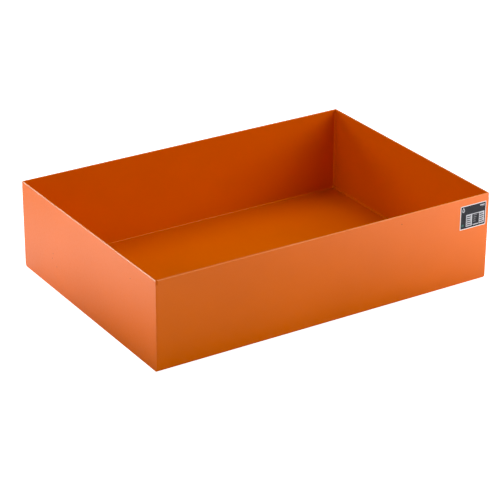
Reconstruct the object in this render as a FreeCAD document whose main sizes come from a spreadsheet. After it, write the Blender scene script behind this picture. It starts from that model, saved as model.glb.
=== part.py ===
import FreeCAD, Part
import os

import Sketcher

# A drip tray of 3 mm sheet steel, in millimetres, +Z up, standing on its underside.
# The origin is the centre of the underside, +X runs along the length and the label is on the -Y wall.
#
# The trough is one sheet: the floor, with the front and rear walls folded up from it. A flat end wall
# closes each end. It lies against the edge of the trough and stays a weld's depth short of the trough's
# outer faces, so that a shallow groove runs round it. A weld fills the groove and is dressed flush, and
# stops short of the rim. A thin seam seals each joint inside.

SIZES = {
    "tray_length": 600.0,       # over the end walls
    "tray_width": 423.0,        # over the front and rear walls
    "tray_height": 148.0,       # underside to rim
    "sheet_gauge": 3.0,         # thickness of all the sheets
    "fold_radius": 2.0,         # inside of the fold between the floor and a long wall
    "rim_round": 1.2,           # deburred and coated edges of the rim
    "weld_depth": 1.0,          # of the outer welds and of the grooves that they fill
    "weld_round": 0.5,          # dressed outer edge of the welds
    "crater_round": 0.4,        # upper end of a corner weld
    "weld_turn_up": 8.0,        # height to which a bottom weld runs up past the folds
    "weld_stop": 6.0,           # from the rim down to the end of a corner weld
    "seam_leg": 2.5,            # leg of the inner seams
    "seam_stop": 4.0,           # from the rim down to the end of an inner seam
    "plug_radius": 5.0,         # round of the weld in each lowest inside corner
    "plug_side": 4.0,           # where that weld hands over to the seams
    "label_width": 50.0,
    "label_height": 40.0,
    "label_film": 0.3,
    "label_round": 1.0,         # corners of the label
    "label_from_end": 5.5,      # from the tray's right end
    "label_from_rim": 12.5,
}

# Each corner's name, its signs in X and Y, and the turns about Z that carry a weld or seam drawn
# for one corner to this one.
CORNERS = {
    "front_left": {"sign": (-1, -1), "weld_turn": 180, "seam_turn": 0},
    "front_right": {"sign": (1, -1), "weld_turn": 270, "seam_turn": 90},
    "rear_right": {"sign": (1, 1), "weld_turn": 0, "seam_turn": 180},
    "rear_left": {"sign": (-1, 1), "weld_turn": 90, "seam_turn": 270},
}
ENDS = {"left": -1, "right": 1}

HALF_LENGTH = "Sizes.tray_length / 2"
HALF_WIDTH = "Sizes.tray_width / 2"
INNER_X = "(Sizes.tray_length / 2 - Sizes.sheet_gauge)"
INNER_Y = "(Sizes.tray_width / 2 - Sizes.sheet_gauge)"
OUTER_FOLD = "Sizes.fold_radius + Sizes.sheet_gauge"


def make_sheet(doc):
    """Put the driving dimensions in the spreadsheet, one alias for each."""
    sheet = doc.addObject("Spreadsheet::Sheet", "Sizes")
    for row, (alias, value) in enumerate(SIZES.items(), start=1):
        sheet.set(f"A{row}", alias)
        sheet.set(f"B{row}", str(value))
        sheet.setAlias(f"B{row}", alias)
    doc.recompute()
    return sheet


def new_body(doc, name):
    body = doc.addObject("PartDesign::Body", name)
    body.Label = name
    return body


def new_sketch(body, name, role):
    """Start a sketch on the body's own origin plane with this role."""
    sketch = body.newObject("Sketcher::SketchObject", f"{body.Label}_{name}")
    plane = next(item for item in body.Origin.OriginFeatures if item.Role == role)
    sketch.AttachmentSupport = [(plane, "")]
    sketch.MapMode = "FlatFace"
    return sketch


def draw_loop(sketch, points):
    """Draw straight lines through the points and back to the first, joined at their ends."""
    count = len(points)
    for index, start in enumerate(points):
        end = points[(index + 1) % count]
        line = Part.LineSegment(FreeCAD.Vector(*start, 0), FreeCAD.Vector(*end, 0))
        sketch.addGeometry(line, False)
    for index in range(count):
        sketch.addConstraint(Sketcher.Constraint("Coincident", index, 2, (index + 1) % count, 1))


def add_size(sketch, kind, references, expression):
    """Add a distance and bind it to the sheet."""
    index = sketch.addConstraint(Sketcher.Constraint(kind, *references, 1.0))
    sketch.setExpression(f"Constraints[{index}]", expression)


def draw_rectangle(sketch, width, height, low=None, centred=False):
    """A rectangle from the sketch's origin, or centred on its upright axis and raised by low."""
    left = -1.0 if centred else 0.0
    base = 1.0 if low else 0.0
    draw_loop(sketch, [(left, base), (2.0, base), (2.0, base + 2.0), (left, base + 2.0)])
    for line, direction in ((1, "Vertical"), (2, "Horizontal"), (3, "Vertical")):
        sketch.addConstraint(Sketcher.Constraint(direction, line))
    if centred:
        sketch.addConstraint(Sketcher.Constraint("Symmetric", 0, 1, 0, 2, -2))
        if low:
            add_size(sketch, "DistanceY", (-1, 1, 0, 1), low)
        else:
            sketch.addConstraint(Sketcher.Constraint("PointOnObject", 0, 1, -1))
    else:
        sketch.addConstraint(Sketcher.Constraint("Horizontal", 0))
        sketch.addConstraint(Sketcher.Constraint("Coincident", 0, 1, -1, 1))
    add_size(sketch, "DistanceX", (0, 1, 0, 2), width)
    add_size(sketch, "DistanceY", (1, 1, 1, 2), height)


def draw_fillet_section(sketch, leg):
    """The right-angled section of a seam, with its corner at the sketch's origin."""
    draw_loop(sketch, [(0.0, 0.0), (2.0, 0.0), (0.0, 2.0)])
    sketch.addConstraint(Sketcher.Constraint("Horizontal", 0))
    sketch.addConstraint(Sketcher.Constraint("Vertical", 2))
    sketch.addConstraint(Sketcher.Constraint("Coincident", 0, 1, -1, 1))
    add_size(sketch, "DistanceX", (0, 1, 0, 2), leg)
    add_size(sketch, "DistanceY", (2, 2, 2, 1), leg)


def pad(body, sketch, length, symmetric=False):
    feature = body.newObject("PartDesign::Pad", f"{body.Label}_pad")
    feature.Profile = sketch
    if symmetric:
        feature.SideType = "Symmetric"
    feature.setExpression("Length", length)
    sketch.Visibility = False
    body.Document.recompute()
    return feature


def hollow(body, sketch):
    """Cut the sketch right through the body, and make sure that the cut took something away."""
    before = body.Tip.Shape.Volume
    feature = body.newObject("PartDesign::Pocket", f"{body.Label}_hollow")
    feature.Profile = sketch
    feature.Type = "ThroughAll"
    feature.SideType = "Symmetric"
    sketch.Visibility = False
    body.Document.recompute()
    if feature.Shape.Volume > 0.5 * before:
        raise RuntimeError(f"the hollow of {body.Label} is not cut")
    return feature


def edges_at(shape, **constant):
    """Names of the edges that lie in all the given planes, such as y=-210, z=0."""
    names = []
    for number, edge in enumerate(shape.Edges, start=1):
        on_planes = all(
            abs(getattr(vertex.Point, axis) - value) < 1e-4
            for vertex in edge.Vertexes
            for axis, value in constant.items()
        )
        if on_planes:
            names.append(f"Edge{number}")
    if not names:
        raise RuntimeError(f"no edge at {constant}")
    return names


def round_edges(body, name, places, radius):
    """Fillet the edges at each of the places."""
    base = body.Tip
    feature = body.newObject("PartDesign::Fillet", f"{body.Label}_{name}")
    edges = [edge for place in places for edge in edges_at(base.Shape, **place)]
    feature.Base = (base, edges)
    feature.setExpression("Radius", radius)
    body.Document.recompute()
    return feature


def place(item, turn=0, **bound):
    """Turn a piece about Z and bind its position, axis by axis, to the sheet."""
    rotation = FreeCAD.Rotation(FreeCAD.Vector(0, 0, 1), turn)
    item.Placement = FreeCAD.Placement(FreeCAD.Vector(0, 0, 0), rotation)
    for axis, expression in bound.items():
        item.setExpression(f".Placement.Base.{axis}", expression)


def trough_section(body, top, length, depth, symmetric=False):
    """A U-shaped band that lies inside the tray's outer faces and is as thick as the size named depth."""
    half = SIZES["tray_width"] / 2
    thick = SIZES[depth]
    outline = new_sketch(body, "outline", "YZ_Plane")
    draw_rectangle(outline, "Sizes.tray_width", top, centred=True)
    pad(body, outline, length, symmetric)
    inside = new_sketch(body, "inside", "YZ_Plane")
    draw_rectangle(inside, f"Sizes.tray_width - 2 * Sizes.{depth}", top, low=f"Sizes.{depth}", centred=True)
    hollow(body, inside)
    fold_lines = [{"y": side * (half - thick), "z": thick} for side in (-1, 1)]
    round_edges(body, "inner_fold", fold_lines, f"{OUTER_FOLD} - Sizes.{depth}")
    round_edges(body, "outer_fold", [{"y": -half, "z": 0}, {"y": half, "z": 0}], OUTER_FOLD)


def make_trough(doc):
    """Floor, front wall and rear wall, folded from one sheet."""
    body = new_body(doc, "trough")
    trough_section(body, "Sizes.tray_height", f"2 * {INNER_X}", "sheet_gauge", symmetric=True)
    top = SIZES["tray_height"]
    outer = SIZES["tray_width"] / 2
    inner = outer - SIZES["sheet_gauge"]
    rim = [{"y": side, "z": top} for side in (-outer, -inner, inner, outer)]
    round_edges(body, "rim", rim, "Sizes.rim_round")
    return body


def make_end_wall(doc, end, sign):
    """Flat sheet that closes one end. Its lower corners follow the folds."""
    body = new_body(doc, f"{end}_end_wall")
    gauge = SIZES["sheet_gauge"]
    depth = SIZES["weld_depth"]
    reach = SIZES["tray_width"] / 2 - depth
    top = SIZES["tray_height"]
    outline = new_sketch(body, "outline", "YZ_Plane")
    width = "Sizes.tray_width - 2 * Sizes.weld_depth"
    rise = "Sizes.tray_height - Sizes.weld_depth"
    draw_rectangle(outline, width, rise, low="Sizes.weld_depth", centred=True)
    pad(body, outline, "Sizes.sheet_gauge")
    corners = [{"y": -reach, "z": depth}, {"y": reach, "z": depth}]
    round_edges(body, "corners", corners, f"{OUTER_FOLD} - Sizes.weld_depth")
    round_edges(body, "rim", [{"x": 0, "z": top}, {"x": gauge, "z": top}], "Sizes.rim_round")
    place(body, x=f"-{HALF_LENGTH}" if sign < 0 else INNER_X)
    return body


def make_bottom_weld(doc, end, sign):
    """Weld in the groove under one end wall and round both folds, drawn for the right end."""
    body = new_body(doc, f"bottom_weld_{end}")
    trough_section(body, "Sizes.weld_turn_up", "Sizes.sheet_gauge", "weld_depth")
    outer_edge = [{"x": SIZES["sheet_gauge"], "z": 0}]
    round_edges(body, "dressed", outer_edge, "Sizes.weld_round")
    place(body, turn=0 if sign > 0 else 180, x=INNER_X if sign > 0 else f"-{INNER_X}")
    return body


def make_corner_weld(doc, corner, spec):
    """Weld that fills the groove at one upright corner, drawn before it is turned into its place."""
    body = new_body(doc, f"corner_weld_{corner}")
    sides = ["sheet_gauge", "weld_depth"]
    if spec["weld_turn"] in (90, 270):
        sides.reverse()
    across, along = (SIZES[side] for side in sides)
    rise = SIZES["tray_height"] - SIZES["weld_stop"] - SIZES["weld_turn_up"]
    section = new_sketch(body, "section", "XY_Plane")
    draw_rectangle(section, f"Sizes.{sides[0]}", f"Sizes.{sides[1]}")
    pad(body, section, "Sizes.tray_height - Sizes.weld_stop - Sizes.weld_turn_up")
    round_edges(body, "dressed", [{"x": across, "y": along}], "Sizes.weld_round")
    crater = [{"x": across, "z": rise}, {"y": along, "z": rise}]
    round_edges(body, "crater", crater, "Sizes.crater_round")
    x_sign, y_sign = spec["sign"]
    place(body, spec["weld_turn"], x=f"{x_sign} * {INNER_X}",
          y=f"{y_sign} * ({HALF_WIDTH} - Sizes.weld_depth)", z="Sizes.weld_turn_up")
    return body


def make_inner_seam(doc, corner, spec):
    """Upright seam in one inside corner, drawn for the front left one."""
    body = new_body(doc, f"inner_seam_{corner}")
    section = new_sketch(body, "section", "XY_Plane")
    draw_fillet_section(section, "Sizes.seam_leg")
    foot = "(Sizes.sheet_gauge + Sizes.plug_side)"
    pad(body, section, f"Sizes.tray_height - Sizes.seam_stop - {foot}")
    x_sign, y_sign = spec["sign"]
    place(body, spec["seam_turn"], x=f"{x_sign} * {INNER_X}", y=f"{y_sign} * {INNER_Y}", z=foot)
    return body


def make_floor_seam(doc, end, sign):
    """Seam along the foot of one end wall, drawn for the left end."""
    body = new_body(doc, f"floor_seam_{end}")
    section = new_sketch(body, "section", "XZ_Plane")
    draw_fillet_section(section, "Sizes.seam_leg")
    pad(body, section, f"2 * ({INNER_Y} - Sizes.plug_side)", symmetric=True)
    place(body, turn=0 if sign < 0 else 180, x=f"{sign} * {INNER_X}", z="Sizes.sheet_gauge")
    return body


def make_corner_plug(doc, corner, spec):
    """Blob of weld in one lowest inside corner: a block over the fold, rounded by a ball."""
    name = f"corner_plug_{corner}"
    x_sign, y_sign = spec["sign"]
    block = doc.addObject("Part::Box", f"{name}_block")
    block.setExpression("Length", "Sizes.plug_radius")
    block.setExpression("Width", "Sizes.plug_side")
    block.setExpression("Height", "Sizes.plug_side")
    if x_sign > 0:
        block.setExpression(".Placement.Base.x", "-Sizes.plug_radius")
    if y_sign > 0:
        block.setExpression(".Placement.Base.y", "-Sizes.plug_side")
    doc.recompute()
    shaped = doc.addObject("Part::Fillet", f"{name}_shaped")
    shaped.Base = block
    fold = SIZES["fold_radius"]
    shaped.Edges = [(int(edge[4:]), fold, fold) for edge in edges_at(block.Shape, y=0, z=0)]
    ball = doc.addObject("Part::Sphere", f"{name}_ball")
    ball.setExpression("Radius", "Sizes.plug_radius")
    plug = doc.addObject("Part::Common", name)
    plug.Base = shaped
    plug.Tool = ball
    plug.Label = name
    place(plug, x=f"{x_sign} * {INNER_X}", y=f"{y_sign} * {INNER_Y}", z="Sizes.sheet_gauge")
    doc.recompute()
    return plug


def make_label(doc):
    """Printed film on the front wall, close to the right end and the rim."""
    body = new_body(doc, "rating_label")
    width = SIZES["label_width"]
    height = SIZES["label_height"]
    outline = new_sketch(body, "outline", "XZ_Plane")
    draw_rectangle(outline, "Sizes.label_width", "Sizes.label_height")
    pad(body, outline, "Sizes.label_film")
    corners = [{"x": x, "z": z} for x in (0, width) for z in (0, height)]
    round_edges(body, "corners", corners, "Sizes.label_round")
    place(body, x=f"{HALF_LENGTH} - Sizes.label_from_end - Sizes.label_width",
          y=f"-{HALF_WIDTH}",
          z="Sizes.tray_height - Sizes.label_from_rim - Sizes.label_height")
    return body


def make_parts(doc):
    parts = [make_trough(doc)]
    for end, sign in ENDS.items():
        parts.append(make_end_wall(doc, end, sign))
        parts.append(make_bottom_weld(doc, end, sign))
        parts.append(make_floor_seam(doc, end, sign))
    for corner, spec in CORNERS.items():
        parts.append(make_corner_weld(doc, corner, spec))
        parts.append(make_inner_seam(doc, corner, spec))
        parts.append(make_corner_plug(doc, corner, spec))
    parts.append(make_label(doc))
    return parts


def check(doc, parts):
    """Stop if an object failed, or if a sub-part isn't one valid solid."""
    for item in doc.Objects:
        if "Invalid" in item.State or "Error" in item.State:
            raise RuntimeError(f"{item.Label} failed: {item.State}")
    for part in parts:
        shape = part.Shape
        if shape.isNull() or not shape.isValid() or len(shape.Solids) != 1:
            raise RuntimeError(f"{part.Label} is not one valid solid")


def main():
    doc = FreeCAD.newDocument("drip_tray")
    make_sheet(doc)
    parts = make_parts(doc)
    doc.recompute()
    check(doc, parts)
    os.makedirs("parts", exist_ok=True)
    for part in parts:
        part.Shape.exportStep(f"parts/{part.Label}.step")


main()
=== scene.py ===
import math
import random

import bpy
import bmesh
from mathutils import Matrix, Vector, noise


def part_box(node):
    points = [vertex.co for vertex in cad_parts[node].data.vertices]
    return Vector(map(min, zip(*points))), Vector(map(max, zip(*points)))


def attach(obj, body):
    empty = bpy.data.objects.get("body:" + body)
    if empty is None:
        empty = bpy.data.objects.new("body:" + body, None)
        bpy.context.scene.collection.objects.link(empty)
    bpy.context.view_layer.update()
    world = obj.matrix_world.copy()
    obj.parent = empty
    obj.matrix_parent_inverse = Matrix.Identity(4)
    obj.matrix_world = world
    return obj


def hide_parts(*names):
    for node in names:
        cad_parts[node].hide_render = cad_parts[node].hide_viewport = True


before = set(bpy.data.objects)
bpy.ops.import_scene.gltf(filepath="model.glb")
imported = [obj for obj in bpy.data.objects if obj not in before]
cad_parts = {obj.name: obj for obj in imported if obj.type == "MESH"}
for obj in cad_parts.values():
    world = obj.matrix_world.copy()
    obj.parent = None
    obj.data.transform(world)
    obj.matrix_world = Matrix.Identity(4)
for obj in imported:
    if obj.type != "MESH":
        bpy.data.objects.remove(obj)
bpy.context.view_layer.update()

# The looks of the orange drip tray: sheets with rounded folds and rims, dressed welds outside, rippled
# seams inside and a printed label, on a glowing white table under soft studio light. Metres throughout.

# Places read from the frame
TROUGH_LOW, TROUGH_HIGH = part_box("trough")
END_LOW, END_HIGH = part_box("right_end_wall")
HALF_LENGTH = END_HIGH.x                 # to the outer face of an end wall
INNER_X = TROUGH_HIGH.x                  # end of the trough, and the end wall's inner face
HALF_WIDTH = TROUGH_HIGH.y
RIM = TROUGH_HIGH.z
GAUGE = HALF_LENGTH - INNER_X            # sheet thickness, and the height of the tray's floor
INNER_Y = HALF_WIDTH - GAUGE             # inner face of a long wall
EDGE_Y = END_HIGH.y                      # upright edge of an end wall
EDGE_Z = END_LOW.z                       # lower edge of an end wall
WELD_DEPTH = END_LOW.z                   # of the outer welds, below the outer faces

# Sizes that the frame's boxes don't give
FOLD = 0.002                             # inner radius of the folds
EDGE_BEND = FOLD + GAUGE - WELD_DEPTH    # radius of an end wall's lower corners
RIM_ROUND = 0.0012
WELD_ROUND = 0.0005
SEAM_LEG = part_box("floor_seam_right")[1].z - GAUGE
CELL = 0.008                             # size of the sheets' mesh cells
SUPPORT = 0.0004                         # distance of the mesh line that keeps a flat flat by a round
ROUND_STEPS = 6                          # mesh steps of a small round
BEND_STEPS = 12                          # and of an end wall's lower corner
SHEET_WAVE = 0.00025                     # how far a sheet strays from flat
END_REACH = 0.05                         # the wave fades out this far from the end walls and the corners
FOLD_REACH = 0.08                        # and this far from the folds
SIDES = (-1, 1)
QUARTER = math.radians(90)


# ---------------------------------------------------------------- materials

def new_material(name):
    material = bpy.data.materials.new(name)
    material.use_nodes = True
    tree = material.node_tree
    shader = tree.nodes["Principled BSDF"]
    return material, tree, shader


def add_node(tree, kind, **settings):
    node = tree.nodes.new(kind)
    for key, value in settings.items():
        if key in node.inputs:
            node.inputs[key].default_value = value
        else:
            setattr(node, key, value)
    return node


def object_coords(tree):
    return add_node(tree, "ShaderNodeTexCoord").outputs["Object"]


def noise_node(tree, coords, scale, detail=2.0):
    node = add_node(tree, "ShaderNodeTexNoise", Scale=scale, Detail=detail, Roughness=0.5)
    tree.links.new(coords, node.inputs["Vector"])
    return node.outputs["Fac"]


def remap(tree, value, low, high, to_low, to_high):
    node = add_node(tree, "ShaderNodeMapRange")
    node.inputs["From Min"].default_value = low
    node.inputs["From Max"].default_value = high
    node.inputs["To Min"].default_value = to_low
    node.inputs["To Max"].default_value = to_high
    tree.links.new(value, node.inputs["Value"])
    return node.outputs["Result"]


def mix_colours(tree, factor, first, second):
    """Mix two colours, each given as RGB or as a socket, by a socket."""
    node = add_node(tree, "ShaderNodeMix", data_type="RGBA")
    for socket, colour in ((node.inputs[6], first), (node.inputs[7], second)):
        if isinstance(colour, tuple):
            socket.default_value = (*colour, 1.0)
        else:
            tree.links.new(colour, socket)
    tree.links.new(factor, node.inputs[0])
    return node.outputs[2]


def add_bump(tree, height, distance, below=None):
    node = add_node(tree, "ShaderNodeBump", Strength=1.0, Distance=distance)
    tree.links.new(height, node.inputs["Height"])
    if below is not None:
        tree.links.new(below, node.inputs["Normal"])
    return node.outputs["Normal"]


def coat_specks(tree, coords, spacing, radius, share):
    """1 at the middle of a speck of dust, which this share of the cells has, and 0 elsewhere."""
    cells = add_node(tree, "ShaderNodeTexVoronoi", Scale=1.0 / spacing)
    tree.links.new(coords, cells.inputs["Vector"])
    dot = remap(tree, cells.outputs["Distance"], radius / spacing, 0.5 * radius / spacing, 0.0, 1.0)
    split = add_node(tree, "ShaderNodeSeparateColor")
    tree.links.new(cells.outputs["Color"], split.inputs["Color"])
    chosen = add_node(tree, "ShaderNodeMath", operation="GREATER_THAN")
    chosen.inputs[1].default_value = 1.0 - share
    tree.links.new(split.outputs["Red"], chosen.inputs[0])
    both = add_node(tree, "ShaderNodeMath", operation="MULTIPLY")
    tree.links.new(dot, both.inputs[0])
    tree.links.new(chosen.outputs["Value"], both.inputs[1])
    return both.outputs["Value"]


ORANGE = (0.80, 0.14, 0.001)
ORANGE_DEEP = (0.77, 0.133, 0.001)
ORANGE_WELD = (0.76, 0.13, 0.001)
# Lighter coat of the seam beads and weld lumps: a painted highlight
BEAD_PAINTED_HIGHLIGHT = (0.83, 0.155, 0.002)
# Paler coat of the rims' outer rounds: a painted highlight
PAINTED_RIM_HIGHLIGHT_PALE = (0.90, 0.27, 0.08)
PAINTED_RIM_HIGHLIGHT_DEEP = (0.86, 0.20, 0.03)
SPECK = (0.20, 0.028, 0.004)
SPECK_SPACING = 0.012
SPECK_RADIUS = 0.001
SPECK_SHARE = 0.006
CLOUD_SCALE = 9.0                        # noise scales are in waves per metre, more or less
GRAIN_SCALE = 260.0
PEEL_SCALE = 420.0
FINE_PEEL_SCALE = 1500.0
COAT_IOR = 1.42


def make_powder_coat(name, light, deep, gloss_low, gloss_high, peel):
    """Semi-gloss powder coat: soft clouds of tone, orange peel, and a few specks of dust."""
    material, tree, shader = new_material(name)
    coords = object_coords(tree)
    clouds = noise_node(tree, coords, CLOUD_SCALE, detail=3.0)
    tone = mix_colours(tree, remap(tree, clouds, 0.35, 0.65, 0.0, 1.0), light, deep)
    specks = coat_specks(tree, coords, SPECK_SPACING, SPECK_RADIUS, SPECK_SHARE)
    specked = mix_colours(tree, specks, tone, SPECK)
    tree.links.new(specked, shader.inputs["Base Color"])
    grain = noise_node(tree, coords, GRAIN_SCALE)
    tree.links.new(remap(tree, grain, 0.3, 0.7, gloss_low, gloss_high), shader.inputs["Roughness"])
    coarse = add_bump(tree, noise_node(tree, coords, PEEL_SCALE, detail=1.0), peel)
    fine_peel = noise_node(tree, coords, FINE_PEEL_SCALE, detail=1.0)
    fine = add_bump(tree, fine_peel, 0.25 * peel, below=coarse)
    tree.links.new(fine, shader.inputs["Normal"])
    shader.inputs["IOR"].default_value = COAT_IOR
    return material


def add_clear_bead(material):
    """Gloss of the thick bead that the coat forms along a sheared edge."""
    shader = material.node_tree.nodes["Principled BSDF"]
    shader.inputs["Coat Weight"].default_value = 1.0
    shader.inputs["Coat Roughness"].default_value = 0.12
    shader.inputs["Coat IOR"].default_value = 1.8


def make_print(name, colour, worn, roughness):
    """Printed or bare film of the label: fine mottle in the colour and in the gloss."""
    material, tree, shader = new_material(name)
    coords = object_coords(tree)
    mottle = noise_node(tree, coords, 1800.0)
    tone = mix_colours(tree, remap(tree, mottle, 0.35, 0.7, 0.0, 1.0), colour, worn)
    tree.links.new(tone, shader.inputs["Base Color"])
    shader.inputs["IOR"].default_value = 1.3
    sheen = noise_node(tree, coords, 220.0)
    gloss = remap(tree, sheen, 0.3, 0.7, roughness - 0.05, roughness + 0.07)
    tree.links.new(gloss, shader.inputs["Roughness"])
    return material


# ---------------------------------------------------------------- mesh helpers

def link_object(name, data):
    thing = bpy.data.objects.new(name, data)
    bpy.context.scene.collection.objects.link(thing)
    return thing


def finish_piece(name, bm, materials, nodes):
    """Turn a bmesh into a piece of the tray that stands for its CAD nodes."""
    bmesh.ops.recalc_face_normals(bm, faces=bm.faces)
    mesh = bpy.data.meshes.new(name)
    bm.to_mesh(mesh)
    bm.free()
    for material in materials:
        mesh.materials.append(material)
    mesh.shade_smooth()
    mesh.set_sharp_from_angle(angle=math.radians(35))
    piece = link_object(name, mesh)
    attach(piece, "root")
    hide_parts(*nodes)
    return piece


def skin_rows(bm, rows):
    """Faces between closed rings of mesh points, all with the same number of points."""
    count = len(rows[0])
    for lower, upper in zip(rows, rows[1:]):
        for index in range(count):
            after = (index + 1) % count
            bm.faces.new((lower[index], lower[after], upper[after], upper[index]))


def add_sweep(bm, rings):
    """Skin a list of closed rings, and close both ends."""
    rows = [[bm.verts.new(point) for point in ring] for ring in rings]
    skin_rows(bm, rows)
    bm.faces.new(rows[0])
    bm.faces.new(rows[-1])


def spread(start, end, spacing, support=SUPPORT):
    """Numbers from start to end, evenly spaced, with one more close to each end."""
    length = end - start
    steps = max(1, round(abs(length) / spacing))
    even = [start + length * index / steps for index in range(1, steps)]
    edge = math.copysign(min(support, abs(length) / 4), length)
    return [start, start + edge, *even, end - edge, end]


def rounded_outline(corners):
    """Closed outline through square corners, each (across, up, radius), with points along its runs."""
    places = [Vector(corner[:2]) for corner in corners]
    count = len(corners)
    points = []
    for index, (_, _, radius) in enumerate(corners):
        corner, after = places[index], places[(index + 1) % count]
        arriving = (corner - places[index - 1]).normalized()
        leaving = (after - corner).normalized()
        centre = corner + (leaving - arriving) * radius
        steps = ROUND_STEPS if radius else 0
        for step in range(steps + 1):
            angle = QUARTER * step / max(1, steps)
            points.append(centre + (arriving * math.sin(angle) - leaving * math.cos(angle)) * radius)
        run_end = after - leaving * corners[(index + 1) % count][2]
        length = (run_end - points[-1]).length
        points += [points[-1] + leaving * place for place in spread(0.0, length, CELL)[1:-1]]
    return points


def fade(distance, reach):
    """0 at an edge, rising smoothly to 1 at the reach from it."""
    share = min(1.0, max(0.0, distance / reach))
    return share * share * (3 - 2 * share)


# ---------------------------------------------------------------- sheets

def trough_wave(x, y, z):
    """How far the folded sheet strays from flat: the walls lean and the floor rises, never the folds."""
    along = fade(INNER_X - abs(x), END_REACH)
    if z > GAUGE + FOLD:
        wave = noise.noise(Vector((x * 6.0, 3.1, math.copysign(5.0, y))))
        return Vector((0.0, SHEET_WAVE * along * fade(z - GAUGE, RIM) * wave, 0.0))
    across = fade(HALF_WIDTH - FOLD - GAUGE - abs(y), FOLD_REACH)
    drift = noise.noise(Vector((x * 5.0, y * 7.0, 1.7)))
    return Vector((0.0, 0.0, SHEET_WAVE * along * across * (0.6 + drift)))


def paint_rim_highlight(bm):
    """Give the rim's outer rounded edge the second material, whose paler colour is a painted highlight."""
    for face in bm.faces:
        centre = face.calc_center_median()
        outside = abs(centre.x) > HALF_LENGTH - RIM_ROUND or abs(centre.y) > HALF_WIDTH - RIM_ROUND
        if outside and centre.z > RIM - RIM_ROUND:
            face.material_index = 1


def make_trough(materials):
    """Floor, front wall and rear wall in one folded sheet."""
    outline = rounded_outline([
        (-HALF_WIDTH, RIM, RIM_ROUND),
        (-HALF_WIDTH, 0.0, FOLD + GAUGE),
        (HALF_WIDTH, 0.0, FOLD + GAUGE),
        (HALF_WIDTH, RIM, RIM_ROUND),
        (INNER_Y, RIM, RIM_ROUND),
        (INNER_Y, GAUGE, FOLD),
        (-INNER_Y, GAUGE, FOLD),
        (-INNER_Y, RIM, RIM_ROUND),
    ])
    bm = bmesh.new()
    rings = []
    for x in spread(-INNER_X, INNER_X, CELL):
        rings.append([Vector((x, y, z)) + trough_wave(x, y, z) for y, z in outline])
    add_sweep(bm, rings)
    paint_rim_highlight(bm)
    return finish_piece("folded_trough", bm, materials, ["trough"])


def end_wall_foot(y):
    """Height of the end wall's lower edge, which rises round the folds."""
    beyond = abs(y) - (EDGE_Y - EDGE_BEND)
    if beyond <= 0:
        return EDGE_Z
    return EDGE_Z + EDGE_BEND - math.sqrt(max(0.0, EDGE_BEND * EDGE_BEND - beyond * beyond))


def make_end_wall(side, end, materials):
    """Flat sheet that closes one end of the trough."""
    outline = rounded_outline([
        (INNER_X, EDGE_Z, 0.0),
        (HALF_LENGTH, EDGE_Z, 0.0),
        (HALF_LENGTH, RIM, RIM_ROUND),
        (INNER_X, RIM, RIM_ROUND),
    ])
    turns = [QUARTER * step / BEND_STEPS for step in range(1, BEND_STEPS + 1)]
    corner = [EDGE_Y - EDGE_BEND * (1 - math.sin(turn)) for turn in turns]
    middle = spread(-EDGE_Y + EDGE_BEND, EDGE_Y - EDGE_BEND, CELL)
    bm = bmesh.new()
    rings = []
    for y in [-y for y in reversed(corner)] + middle + corner:
        foot = end_wall_foot(y)
        stretch = (RIM - foot) / (RIM - EDGE_Z)
        wave = noise.noise(Vector((y * 6.0, side * 4.0, 0.3)))
        lean = SHEET_WAVE * fade(EDGE_Y - abs(y), END_REACH) * wave
        ring = []
        for x, z in outline:
            height = RIM - (RIM - z) * stretch
            ring.append(Vector((side * x + lean * fade(height - EDGE_Z, RIM), y, height)))
        rings.append(ring)
    add_sweep(bm, rings)
    paint_rim_highlight(bm)
    return finish_piece(f"{end}_end_sheet", bm, materials, [f"{end}_end_wall"])


# ---------------------------------------------------------------- welds

def dressed_section(sink):
    """Section of a dressed groove weld: out from the groove's floor, and along X from the trough's end."""
    out, along = WELD_DEPTH - sink, GAUGE - sink
    points = [(0.0, 0.0), (out * 0.5, 0.0), (out, 0.0), (out, along * 0.4)]
    for step in range(ROUND_STEPS + 1):
        angle = QUARTER * step / ROUND_STEPS
        cut_out = WELD_ROUND * (1 - math.cos(angle))
        cut_along = WELD_ROUND * (1 - math.sin(angle))
        points.append((out - cut_out, along - cut_along))
    return points + [(0.0, along), (0.0, along * 0.5)]


GROOVE_PITCH = 0.0015                    # from one ring of a bottom weld to the next
CORNER_PITCH = 0.0012                    # and of a corner weld
CRATER = 0.002                           # length of a corner weld's run-out below the rim
LEVEL_SINK = 0.00002                     # of the bottom weld's level run, which carries no wander


def groove_ring(side, path_point, outward, sink, shrink=1.0):
    """One ring of a groove weld, at a point on the end wall's edge."""
    ring = []
    for out, along in dressed_section(sink):
        place = path_point + outward * out * shrink
        ring.append(Vector((side * (INNER_X + along * shrink), place.x, place.y)))
    return ring


MEAN_SINK = 0.00003
SLOW_WANDER = 0.00002
QUICK_WANDER = 0.00001


def weld_sink(distance, seed):
    """How far the dressed surface lies below flush: it wanders along the weld."""
    slow = noise.noise(Vector((distance * 60.0, seed, 0.5)))
    quick = noise.noise(Vector((distance * 420.0, seed, 7.5)))
    return MEAN_SINK + SLOW_WANDER * slow + QUICK_WANDER * quick


def make_corner_weld(side, wall, corner, material):
    """Weld in one upright corner groove. It runs out below the rim in a shallow crater."""
    low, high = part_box(f"corner_weld_{corner}")
    bm = bmesh.new()
    rings = []
    for height in spread(low.z, high.z, CORNER_PITCH):
        shrink = 0.6 + 0.4 * fade(high.z - height, CRATER)
        sink = weld_sink(height, side + 3 * wall)
        place = Vector((wall * EDGE_Y, height))
        rings.append(groove_ring(side, place, Vector((wall, 0.0)), sink, shrink))
    add_sweep(bm, rings)
    return finish_piece(f"dressed_weld_{corner}", bm, [material], [f"corner_weld_{corner}"])


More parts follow.
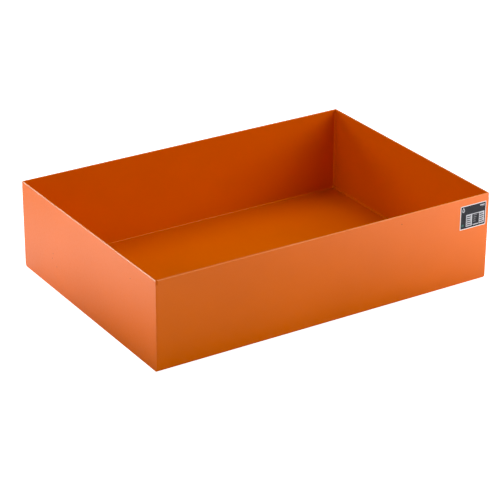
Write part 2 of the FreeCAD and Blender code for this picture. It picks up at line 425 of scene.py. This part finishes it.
def end_edge_path(height, spacing):
    """Points and outward directions along an end wall's lower edge, up both sides to a height."""
    def mirror(vector):
        return Vector((-vector.x, vector.y))

    rises = reversed(spread(EDGE_Z + EDGE_BEND, height, spacing))
    near = [(Vector((-EDGE_Y, z)), Vector((-1.0, 0.0))) for z in rises]
    centre = Vector((-EDGE_Y + EDGE_BEND, EDGE_Z + EDGE_BEND))
    for step in range(1, BEND_STEPS):
        angle = QUARTER * step / BEND_STEPS
        outward = Vector((-math.cos(angle), -math.sin(angle)))
        near.append((centre + outward * EDGE_BEND, outward))
    level = spread(-EDGE_Y + EDGE_BEND, EDGE_Y - EDGE_BEND, spacing)
    foot = [(Vector((y, EDGE_Z)), Vector((0.0, -1.0))) for y in level]
    far = [(mirror(point), mirror(outward)) for point, outward in reversed(near)]
    return near + foot + far


def make_bottom_weld(side, end, material):
    """Weld in the groove under one end wall and round both folds."""
    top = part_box(f"bottom_weld_{end}")[1].z
    bm = bmesh.new()
    rings = []
    travelled = 0.0
    last = None
    for point, outward in end_edge_path(top, GROOVE_PITCH):
        travelled += (point - last).length if last else 0.0
        last = point
        sink = weld_sink(travelled, 11.0 * side) * fade(top - point.y, 0.003)
        flat = 1.0 - fade(point.y - EDGE_Z, 0.001)
        rings.append(groove_ring(side, point, outward, sink * (1.0 - flat) + LEVEL_SINK * flat))
    add_sweep(bm, rings)
    return finish_piece(f"dressed_weld_{end}_foot", bm, [material], [f"bottom_weld_{end}"])


RIPPLE_PITCH = 0.002
RIPPLE_RISE = 0.00016
RIPPLE_LAG = 0.9                         # of a pitch, as the ripples curve back in the middle
BEAD_WANDER = 0.00018
BEAD_BOW = 0.12                          # of the leg, how far the bead's face swells
BEAD_RUN_OUT = 0.003
BEAD_STEPS = 8


def bead_ring(corner, first, second, distance, seed, swell=1.0):
    """One ring of a rippled fillet bead between two faces that leave the corner along first and second."""
    ring = [corner]
    for step in range(BEAD_STEPS + 1):
        across = step / BEAD_STEPS
        bow = math.sin(math.pi * across)
        phase = (distance / RIPPLE_PITCH - RIPPLE_LAG * bow) % 1.0
        ripple = RIPPLE_RISE * (1.0 - phase) * bow
        wander = BEAD_WANDER * noise.noise(Vector((distance * 130.0, seed, across)))
        leg = SEAM_LEG * swell * (0.94 + 0.06 * noise.noise(Vector((distance * 45.0, seed, 3.0))))
        chord = first * leg * (1.0 - across) + second * leg * across
        lift = (first + second).normalized() * (BEAD_BOW * leg * bow + (ripple + wander) * bow)
        ring.append(corner + chord + lift)
    return ring


def make_bead(name, node, start, end, first, second, seed, material):
    """Rippled seam from start to end. Both its ends are drawn in."""
    length = (end - start).length
    direction = (end - start).normalized()
    bm = bmesh.new()
    rings = []
    for distance in spread(0.0, length, RIPPLE_PITCH / 5):
        drawn = 0.55 + 0.45 * fade(min(distance, length - distance), BEAD_RUN_OUT)
        rings.append(bead_ring(start + direction * distance, first, second, distance, seed, drawn))
    add_sweep(bm, rings)
    return finish_piece(name, bm, [material], [node])


def make_inner_seam(side, wall, corner, material):
    low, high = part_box(f"inner_seam_{corner}")
    foot = Vector((side * INNER_X, wall * INNER_Y, low.z))
    top = Vector((side * INNER_X, wall * INNER_Y, high.z))
    return make_bead(f"bead_{corner}", f"inner_seam_{corner}", foot, top, Vector((-side, 0, 0)),
                     Vector((0, -wall, 0)), 2.0 * side + wall, material)


def make_floor_seam(side, end, material):
    low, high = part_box(f"floor_seam_{end}")
    start = Vector((side * INNER_X, low.y, GAUGE))
    finish = Vector((side * INNER_X, high.y, GAUGE))
    return make_bead(f"bead_{end}_foot", f"floor_seam_{end}", start, finish, Vector((-side, 0, 0)),
                     Vector((0, 0, 1)), 20.0 + side, material)


def add_dome(bm, centre, across, up, normal, radius, height, seed):
    """Small droplet of weld spatter, lying on a face."""
    rim_points = 14
    levels = 4
    rows = []
    for level in range(levels):
        angle = QUARTER * level / levels
        ring = []
        for index in range(rim_points):
            turn = 2 * math.pi * index / rim_points
            spoke = across * math.cos(turn) + up * math.sin(turn)
            uneven = 1 + 0.18 * noise.noise(Vector((math.cos(turn), math.sin(turn), seed)))
            place = centre + spoke * radius * uneven * math.cos(angle) + normal * height * math.sin(angle)
            ring.append(bm.verts.new(place))
        rows.append(ring)
    tip = bm.verts.new(centre + normal * height)
    bm.faces.new(rows[0])
    skin_rows(bm, rows)
    for index in range(rim_points):
        bm.faces.new((rows[-1][index], rows[-1][(index + 1) % rim_points], tip))


PLUG_RADIUS = 0.0046
PLUG_STEPS = 12


def add_plug(bm, corner, inward, seed):
    """Lump of weld in a lowest inside corner: an uneven eighth of a ball, closed by its flats."""
    def place(turn, rise):
        spoke = math.cos(rise)
        direction = Vector((math.cos(turn) * spoke, math.sin(turn) * spoke, math.sin(rise)))
        bulge = 1 + 0.13 * noise.noise(direction * 2.2 + Vector((seed, 0, 0)))
        reach = direction * PLUG_RADIUS * bulge
        return corner + Vector((reach.x * inward.x, reach.y * inward.y, reach.z))

    tip = bm.verts.new(place(0.0, QUARTER))
    core = bm.verts.new(corner)
    turns = [QUARTER * index / PLUG_STEPS for index in range(PLUG_STEPS + 1)]
    rows = []
    for rise in turns[:-1]:
        rows.append([bm.verts.new(place(turn, rise)) for turn in turns])
    for lower, upper in zip(rows, rows[1:]):
        for index in range(PLUG_STEPS):
            bm.faces.new((lower[index], lower[index + 1], upper[index + 1], upper[index]))
    for index in range(PLUG_STEPS):
        bm.faces.new((rows[-1][index], rows[-1][index + 1], tip))
    bm.faces.new([core] + rows[0])
    for edge in (0, PLUG_STEPS):
        bm.faces.new([core] + [row[edge] for row in rows] + [tip])


DROP_HEIGHT = 0.75                       # of a droplet's radius
REAR_RIGHT_DROPS = (                     # kind, distance from the corner, distance off the seam, radius
    ("wall_foot", 0.011, 0.0022, 0.0014),
    ("end_foot", 0.016, 0.0034, 0.0015),
    ("end_foot", 0.032, 0.0034, 0.0012),
    ("end_face", 0.050, 0.0100, 0.0009),
)


def scatter_drops(seed):
    """Made-up droplets of spatter for a corner."""
    chance = random.Random(seed)
    drops = []
    for kind in ("wall_foot", "end_foot", "end_foot", "end_face", "wall_foot"):
        off = 0.0034 if kind == "end_foot" else chance.uniform(0.0022, 0.009)
        drops.append((kind, chance.uniform(0.009, 0.04), off, chance.uniform(0.0008, 0.0014)))
    return drops


def make_corner_plug(side, wall, corner, drops, material):
    """Lump of weld in one lowest corner, with a few droplets of spatter round it."""
    bm = bmesh.new()
    place = Vector((side * INNER_X, wall * INNER_Y, GAUGE))
    add_plug(bm, place, Vector((-side, -wall, 1)), side + 5.0 * wall)
    along_wall = Vector((-side, 0, 0))
    along_end = Vector((0, -wall, 0))
    up = Vector((0, 0, 1))
    axes = {                             # along the seam, off it, and out of the face
        "wall_foot": (along_wall, along_end, up),
        "end_foot": (along_end, along_wall, up),
        "end_face": (along_end, up, along_wall),
    }
    for count, (kind, distance, off, radius) in enumerate(drops):
        first, second, normal = axes[kind]
        centre = place + first * distance + second * off
        add_dome(bm, centre, first, second, normal, radius, radius * DROP_HEIGHT, count)
    return finish_piece(f"weld_lump_{corner}", bm, [material], [f"corner_plug_{corner}"])


# ---------------------------------------------------------------- label

LABEL_ROUND = 0.001
LABEL_BLUNT = 0.00005                    # least rounding of a printed patch
LAYER = 0.00003                          # step in depth from one printed layer to the next


def add_slab(bm, outline, face_y, depth, material_index):
    """Flat printed patch: an outline of (x, z) points, its face at face_y, facing -Y."""
    front = [bm.verts.new((x, face_y, z)) for x, z in outline]
    back = [bm.verts.new((x, face_y + depth, z)) for x, z in outline]
    count = len(outline)
    faces = [bm.faces.new(front), bm.faces.new(back)]
    for index in range(count):
        after = (index + 1) % count
        faces.append(bm.faces.new((front[index], front[after], back[after], back[index])))
    for face in faces:
        face.material_index = material_index


def rounded_rectangle(left, bottom, right, top, radius, steps=5):
    corners = (
        (right - radius, top - radius, 0),
        (left + radius, top - radius, 90),
        (left + radius, bottom + radius, 180),
        (right - radius, bottom + radius, 270),
    )
    points = []
    for centre_x, centre_z, start in corners:
        for step in range(steps + 1):
            angle = math.radians(start + 90 * step / steps)
            points.append((centre_x + radius * math.cos(angle), centre_z + radius * math.sin(angle)))
    return points


def drop_outline(centre_x, centre_z, radius, steps=22):
    """A plain drop of liquid, point up."""
    points = []
    for step in range(steps):
        angle = 2 * math.pi * step / steps
        across = radius * math.sin(angle) * math.sin(angle / 2) ** 1.4
        points.append((centre_x + across, centre_z + 1.25 * radius * math.cos(angle)))
    return points


def make_label(materials):
    """Rating label with a plain layout: a drop, a bar and a table whose rows are dashes, not words."""
    low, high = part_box("rating_label")
    width, height = high.x - low.x, high.z - low.z
    film, ink, pale, dash, grey, accent = range(6)
    bm = bmesh.new()

    def box(left, top, right, bottom, layer, colour, radius=0.0):
        """Patch placed by shares of the label's width and height, from its top left corner."""
        near, far = low.x + left * width, low.x + right * width
        foot, head = high.z - bottom * height, high.z - top * height
        shape = rounded_rectangle(near, foot, far, head, max(radius, LABEL_BLUNT))
        face = low.y + (3 - layer) * LAYER
        add_slab(bm, shape, face, LAYER * 0.9 if layer else high.y - face, colour)

    box(0.0, 0.0, 1.0, 1.0, 0, film, LABEL_ROUND)
    box(0.024, 0.028, 0.98, 0.968, 1, ink, LABEL_ROUND * 0.6)
    drop_x, drop_z = low.x + 0.115 * width, high.z - 0.16 * height
    add_slab(bm, drop_outline(drop_x, drop_z, 0.085 * height), low.y + LAYER, LAYER * 0.9, pale)
    add_slab(bm, drop_outline(drop_x, drop_z - 0.01 * height, 0.045 * height), low.y, LAYER * 0.9, ink)
    box(0.76, 0.10, 0.94, 0.145, 2, pale, 0.0003)
    box(0.82, 0.165, 0.94, 0.19, 2, grey, 0.0003)
    box(0.23, 0.40, 0.94, 0.43, 2, pale)
    box(0.23, 0.43, 0.465, 0.90, 2, pale)
    box(0.74, 0.43, 0.94, 0.90, 2, pale)
    box(0.50, 0.86, 0.72, 0.90, 2, pale)
    table_top = 0.46
    chance = random.Random(7)
    for row in range(5):
        top = table_top + row * 0.088
        box(0.25, top, chance.uniform(0.41, 0.45), top + 0.044, 3, dash)
        box(0.76, top, chance.uniform(0.89, 0.93), top + 0.044, 3, dash)
        if row < 4:
            box(0.52, top + 0.004, chance.uniform(0.60, 0.69), top + 0.038, 2, grey)
    for row, colour in enumerate((dash, dash, accent)):
        top = table_top + row * 0.155
        box(0.06, top, 0.145, top + 0.10, 2, colour, 0.0012)
    return finish_piece("printed_label", bm, materials, ["rating_label"])


# ---------------------------------------------------------------- stage, light and camera

TABLE_RADIUS = 4.4
TABLE_EDGE = 0.9                         # height of the table's upturned edge
TABLE_BEND = 0.5                         # radius of the bend below it
BEND_ROWS = 8
TABLE_SEGMENTS = 96
TABLE_GAP = 0.0003                       # the table lies just under the tray
TABLE_WHITE = 1.0                        # glow of the table to the camera, burnt out to plain white
GLOW_SPOTS = (                           # x, y, radius and glow of the soft spots that light the tray
    (0.67, -0.60, 0.7, 2.7),
    (0.0, -0.85, 0.7, 0.64),
    (-0.95, 0.0, 0.7, 3.75),
    (-0.35, 0.3, 0.4, 0.79),
    (1.7, -1.7, 1.6, 4.7),
    (0.0, 2.4, 1.6, 1.6),
    (2.4, 0.0, 1.6, 1.6),
)


def add_values(tree, first, second):
    node = add_node(tree, "ShaderNodeMath", operation="ADD")
    tree.links.new(first, node.inputs[0])
    tree.links.new(second, node.inputs[1])
    return node.outputs["Value"]


def make_table_material():
    """White table, overexposed to the camera, that lights the tray from below in soft spots."""
    material, tree, shader = new_material("glowing_table")
    coords = object_coords(tree)
    grain = noise_node(tree, coords, 3.0)
    white = mix_colours(tree, grain, (0.86, 0.86, 0.86), (0.82, 0.82, 0.82))
    tree.links.new(white, shader.inputs["Base Color"])
    shader.inputs["Roughness"].default_value = 0.9
    shader.inputs["Emission Color"].default_value = (1.0, 1.0, 1.0, 1.0)
    total = None
    for x, y, radius, glow in GLOW_SPOTS:
        away = add_node(tree, "ShaderNodeVectorMath", operation="DISTANCE")
        tree.links.new(coords, away.inputs[0])
        away.inputs[1].default_value = (x, y, 0.0)
        spot = add_node(tree, "ShaderNodeMapRange", interpolation_type="SMOOTHSTEP")
        tree.links.new(away.outputs["Value"], spot.inputs["Value"])
        spot.inputs["From Min"].default_value = 0.0
        spot.inputs["From Max"].default_value = radius
        spot.inputs["To Min"].default_value = glow
        spot.inputs["To Max"].default_value = 0.0
        result = spot.outputs["Result"]
        total = add_values(tree, total, result) if total else result
    seen = add_node(tree, "ShaderNodeLightPath").outputs["Is Camera Ray"]
    strength = add_node(tree, "ShaderNodeMix", data_type="FLOAT")
    tree.links.new(seen, strength.inputs[0])
    tree.links.new(total, strength.inputs[2])
    strength.inputs[3].default_value = TABLE_WHITE
    tree.links.new(strength.outputs[0], shader.inputs["Emission Strength"])
    return material


def make_table():
    """Round white table with a low upturned edge, so that a low view still sees white behind."""
    profile = [(radius, -TABLE_GAP) for radius in (0.001, 0.6, 1.5, 3.0)]
    for step in range(BEND_ROWS + 1):
        angle = QUARTER * step / BEND_ROWS
        radius = TABLE_RADIUS - TABLE_BEND + TABLE_BEND * math.sin(angle)
        profile.append((radius, TABLE_BEND - TABLE_GAP - TABLE_BEND * math.cos(angle)))
    profile.append((TABLE_RADIUS, TABLE_EDGE))
    turns = [2 * math.pi * index / TABLE_SEGMENTS for index in range(TABLE_SEGMENTS)]
    bm = bmesh.new()
    rows = []
    for radius, height in profile:
        ring = [(radius * math.cos(turn), radius * math.sin(turn), height) for turn in turns]
        rows.append([bm.verts.new(point) for point in ring])
    skin_rows(bm, rows)
    bm.faces.new(rows[0])
    mesh = bpy.data.meshes.new("table")
    bm.to_mesh(mesh)
    bm.free()
    mesh.materials.append(make_table_material())
    mesh.shade_smooth()
    link_object("table", mesh)


SOFTBOX_AWAY = 2.6                       # distance of the softboxes from the tray
SOFTBOXES = (                            # name, turn from +X towards +Y and height in degrees, side, watts
    ("front_right", 318, 25, 1.1, 21.0),
    ("front", 300, 35, 0.9, 6.2),
    ("rear_left", 127, 22, 0.8, 14.7),
    ("rear_low", 57, 25, 1.1, 1.2),
    ("rear_high", 60, 65, 1.1, 14.4),
    ("right_high", 0, 60, 1.1, 10.1),
    ("left", 180, 25, 1.1, 11.5),
)
SKY = 0.155


def add_softbox(name, turn, height, side, power):
    """Square area light that faces the tray and stays out of the picture."""
    light = bpy.data.lights.new(name, "AREA")
    light.shape = "SQUARE"
    light.size = side
    light.energy = power
    turn, height = math.radians(turn), math.radians(height)
    across = SOFTBOX_AWAY * math.cos(height)
    up = SOFTBOX_AWAY * math.sin(height)
    place = Vector((across * math.cos(turn), across * math.sin(turn), up))
    lamp = link_object(name, light)
    lamp.location = place
    lamp.rotation_mode = "QUATERNION"
    lamp.rotation_quaternion = (-place).to_track_quat("-Z", "Y")
    lamp.visible_camera = False


def light_studio():
    world = bpy.data.worlds.new("studio")
    world.use_nodes = True
    background = world.node_tree.nodes["Background"]
    background.inputs["Color"].default_value = (1.0, 1.0, 1.0, 1.0)
    background.inputs["Strength"].default_value = SKY
    bpy.context.scene.world = world
    for softbox in SOFTBOXES:
        add_softbox(*softbox)


BLUE_TOE = 0.0125                        # blue light below this is lost, as in the photographed orange


def set_picture_tone():
    """Plain tone, with the foot of the blue curve cut off."""
    view = bpy.context.scene.view_settings
    view.view_transform = "Standard"
    view.use_curve_mapping = True
    blue = view.curve_mapping.curves[2]
    blue.points[0].location = (BLUE_TOE, 0.0)
    view.curve_mapping.update()


VIEW_AZIMUTH = -32.385                   # degrees; at 0 the camera looks along +Y
VIEW_ELEVATION = 25.159
VIEW_ROLL = 0.296
VIEW_DISTANCE = 5.457 * 2 * HALF_LENGTH
VIEW_ASIDE = -0.0104 * 2 * HALF_LENGTH   # of the aim, from the middle of the underside
VIEW_RAISED = 0.0577 * 2 * HALF_LENGTH
LENS = 147.53                            # mm
SENSOR = 36.0                            # mm, its width


def place_camera():
    """Camera at the photograph's angle, with no shift and no depth of field."""
    turn, tilt, roll = (math.radians(angle) for angle in (VIEW_AZIMUTH, VIEW_ELEVATION, VIEW_ROLL))
    ahead = Vector((-math.sin(turn) * math.cos(tilt), math.cos(turn) * math.cos(tilt), -math.sin(tilt)))
    level = Vector((math.cos(turn), math.sin(turn), 0.0))
    upright = level.cross(ahead)
    right = level * math.cos(roll) + upright * math.sin(roll)
    up = upright * math.cos(roll) - level * math.sin(roll)
    data = bpy.data.cameras.new("camera")
    data.sensor_width = SENSOR
    data.lens = LENS
    camera = link_object("camera", data)
    turned = Matrix((right, up, -ahead)).transposed()
    place = right * VIEW_ASIDE + up * VIEW_RAISED - ahead * VIEW_DISTANCE
    camera.matrix_world = Matrix.Translation(place) @ turned.to_4x4()
    bpy.context.scene.camera = camera


# ---------------------------------------------------------------- the tray

def label_prints():
    """The label's film and inks, in the order that make_label counts them."""
    return [
        make_print("label_film", (0.86, 0.85, 0.84), (0.80, 0.79, 0.79), 0.5),
        make_print("label_ink", (0.008, 0.009, 0.024), (0.012, 0.013, 0.031), 0.55),
        make_print("label_pale", (0.56, 0.56, 0.60), (0.48, 0.49, 0.53), 0.5),
        make_print("label_dash", (0.010, 0.011, 0.026), (0.017, 0.018, 0.036), 0.55),
        make_print("label_grey", (0.20, 0.20, 0.23), (0.15, 0.15, 0.18), 0.55),
        make_print("label_accent", (0.02, 0.10, 0.10), (0.03, 0.14, 0.13), 0.5),
    ]


def build_tray():
    coat = make_powder_coat("orange_powder_coat", ORANGE, ORANGE_DEEP, 0.28, 0.38, 0.00003)
    # The rims' outer rounds get a paler coat, a painted highlight; on the end walls it is glossier too
    painted_rim_highlight_coat = make_powder_coat("orange_coat_painted_rim_highlight", PAINTED_RIM_HIGHLIGHT_PALE, PAINTED_RIM_HIGHLIGHT_DEEP, 0.28, 0.38, 0.00003)
    glossy_painted_end_highlight = make_powder_coat("orange_coat_painted_end_rim_highlight", PAINTED_RIM_HIGHLIGHT_PALE, PAINTED_RIM_HIGHLIGHT_DEEP, 0.20, 0.28, 0.00001)
    add_clear_bead(glossy_painted_end_highlight)
    weld_coat = make_powder_coat("orange_coat_on_weld", ORANGE_WELD, ORANGE, 0.30, 0.42, 0.00004)
    # Beads and weld lumps are lighter than the sheets: a painted highlight
    bead_coat_painted_highlight = make_powder_coat("orange_coat_on_bead_painted_highlight", BEAD_PAINTED_HIGHLIGHT, ORANGE, 0.45, 0.58, 0.00003)
    make_trough([coat, painted_rim_highlight_coat])
    for side, end in zip(SIDES, ("left", "right")):
        make_end_wall(side, end, [coat, glossy_painted_end_highlight])
        make_bottom_weld(side, end, weld_coat)
        make_floor_seam(side, end, bead_coat_painted_highlight)
        for wall, face in zip(SIDES, ("front", "rear")):
            corner = f"{face}_{end}"
            make_corner_weld(side, wall, corner, weld_coat)
            make_inner_seam(side, wall, corner, bead_coat_painted_highlight)
            drops = REAR_RIGHT_DROPS if corner == "rear_right" else scatter_drops(side + 2 * wall)
            make_corner_plug(side, wall, corner, drops, bead_coat_painted_highlight)
    make_label(label_prints())


place_camera()
build_tray()
make_table()
light_studio()
set_picture_tone()
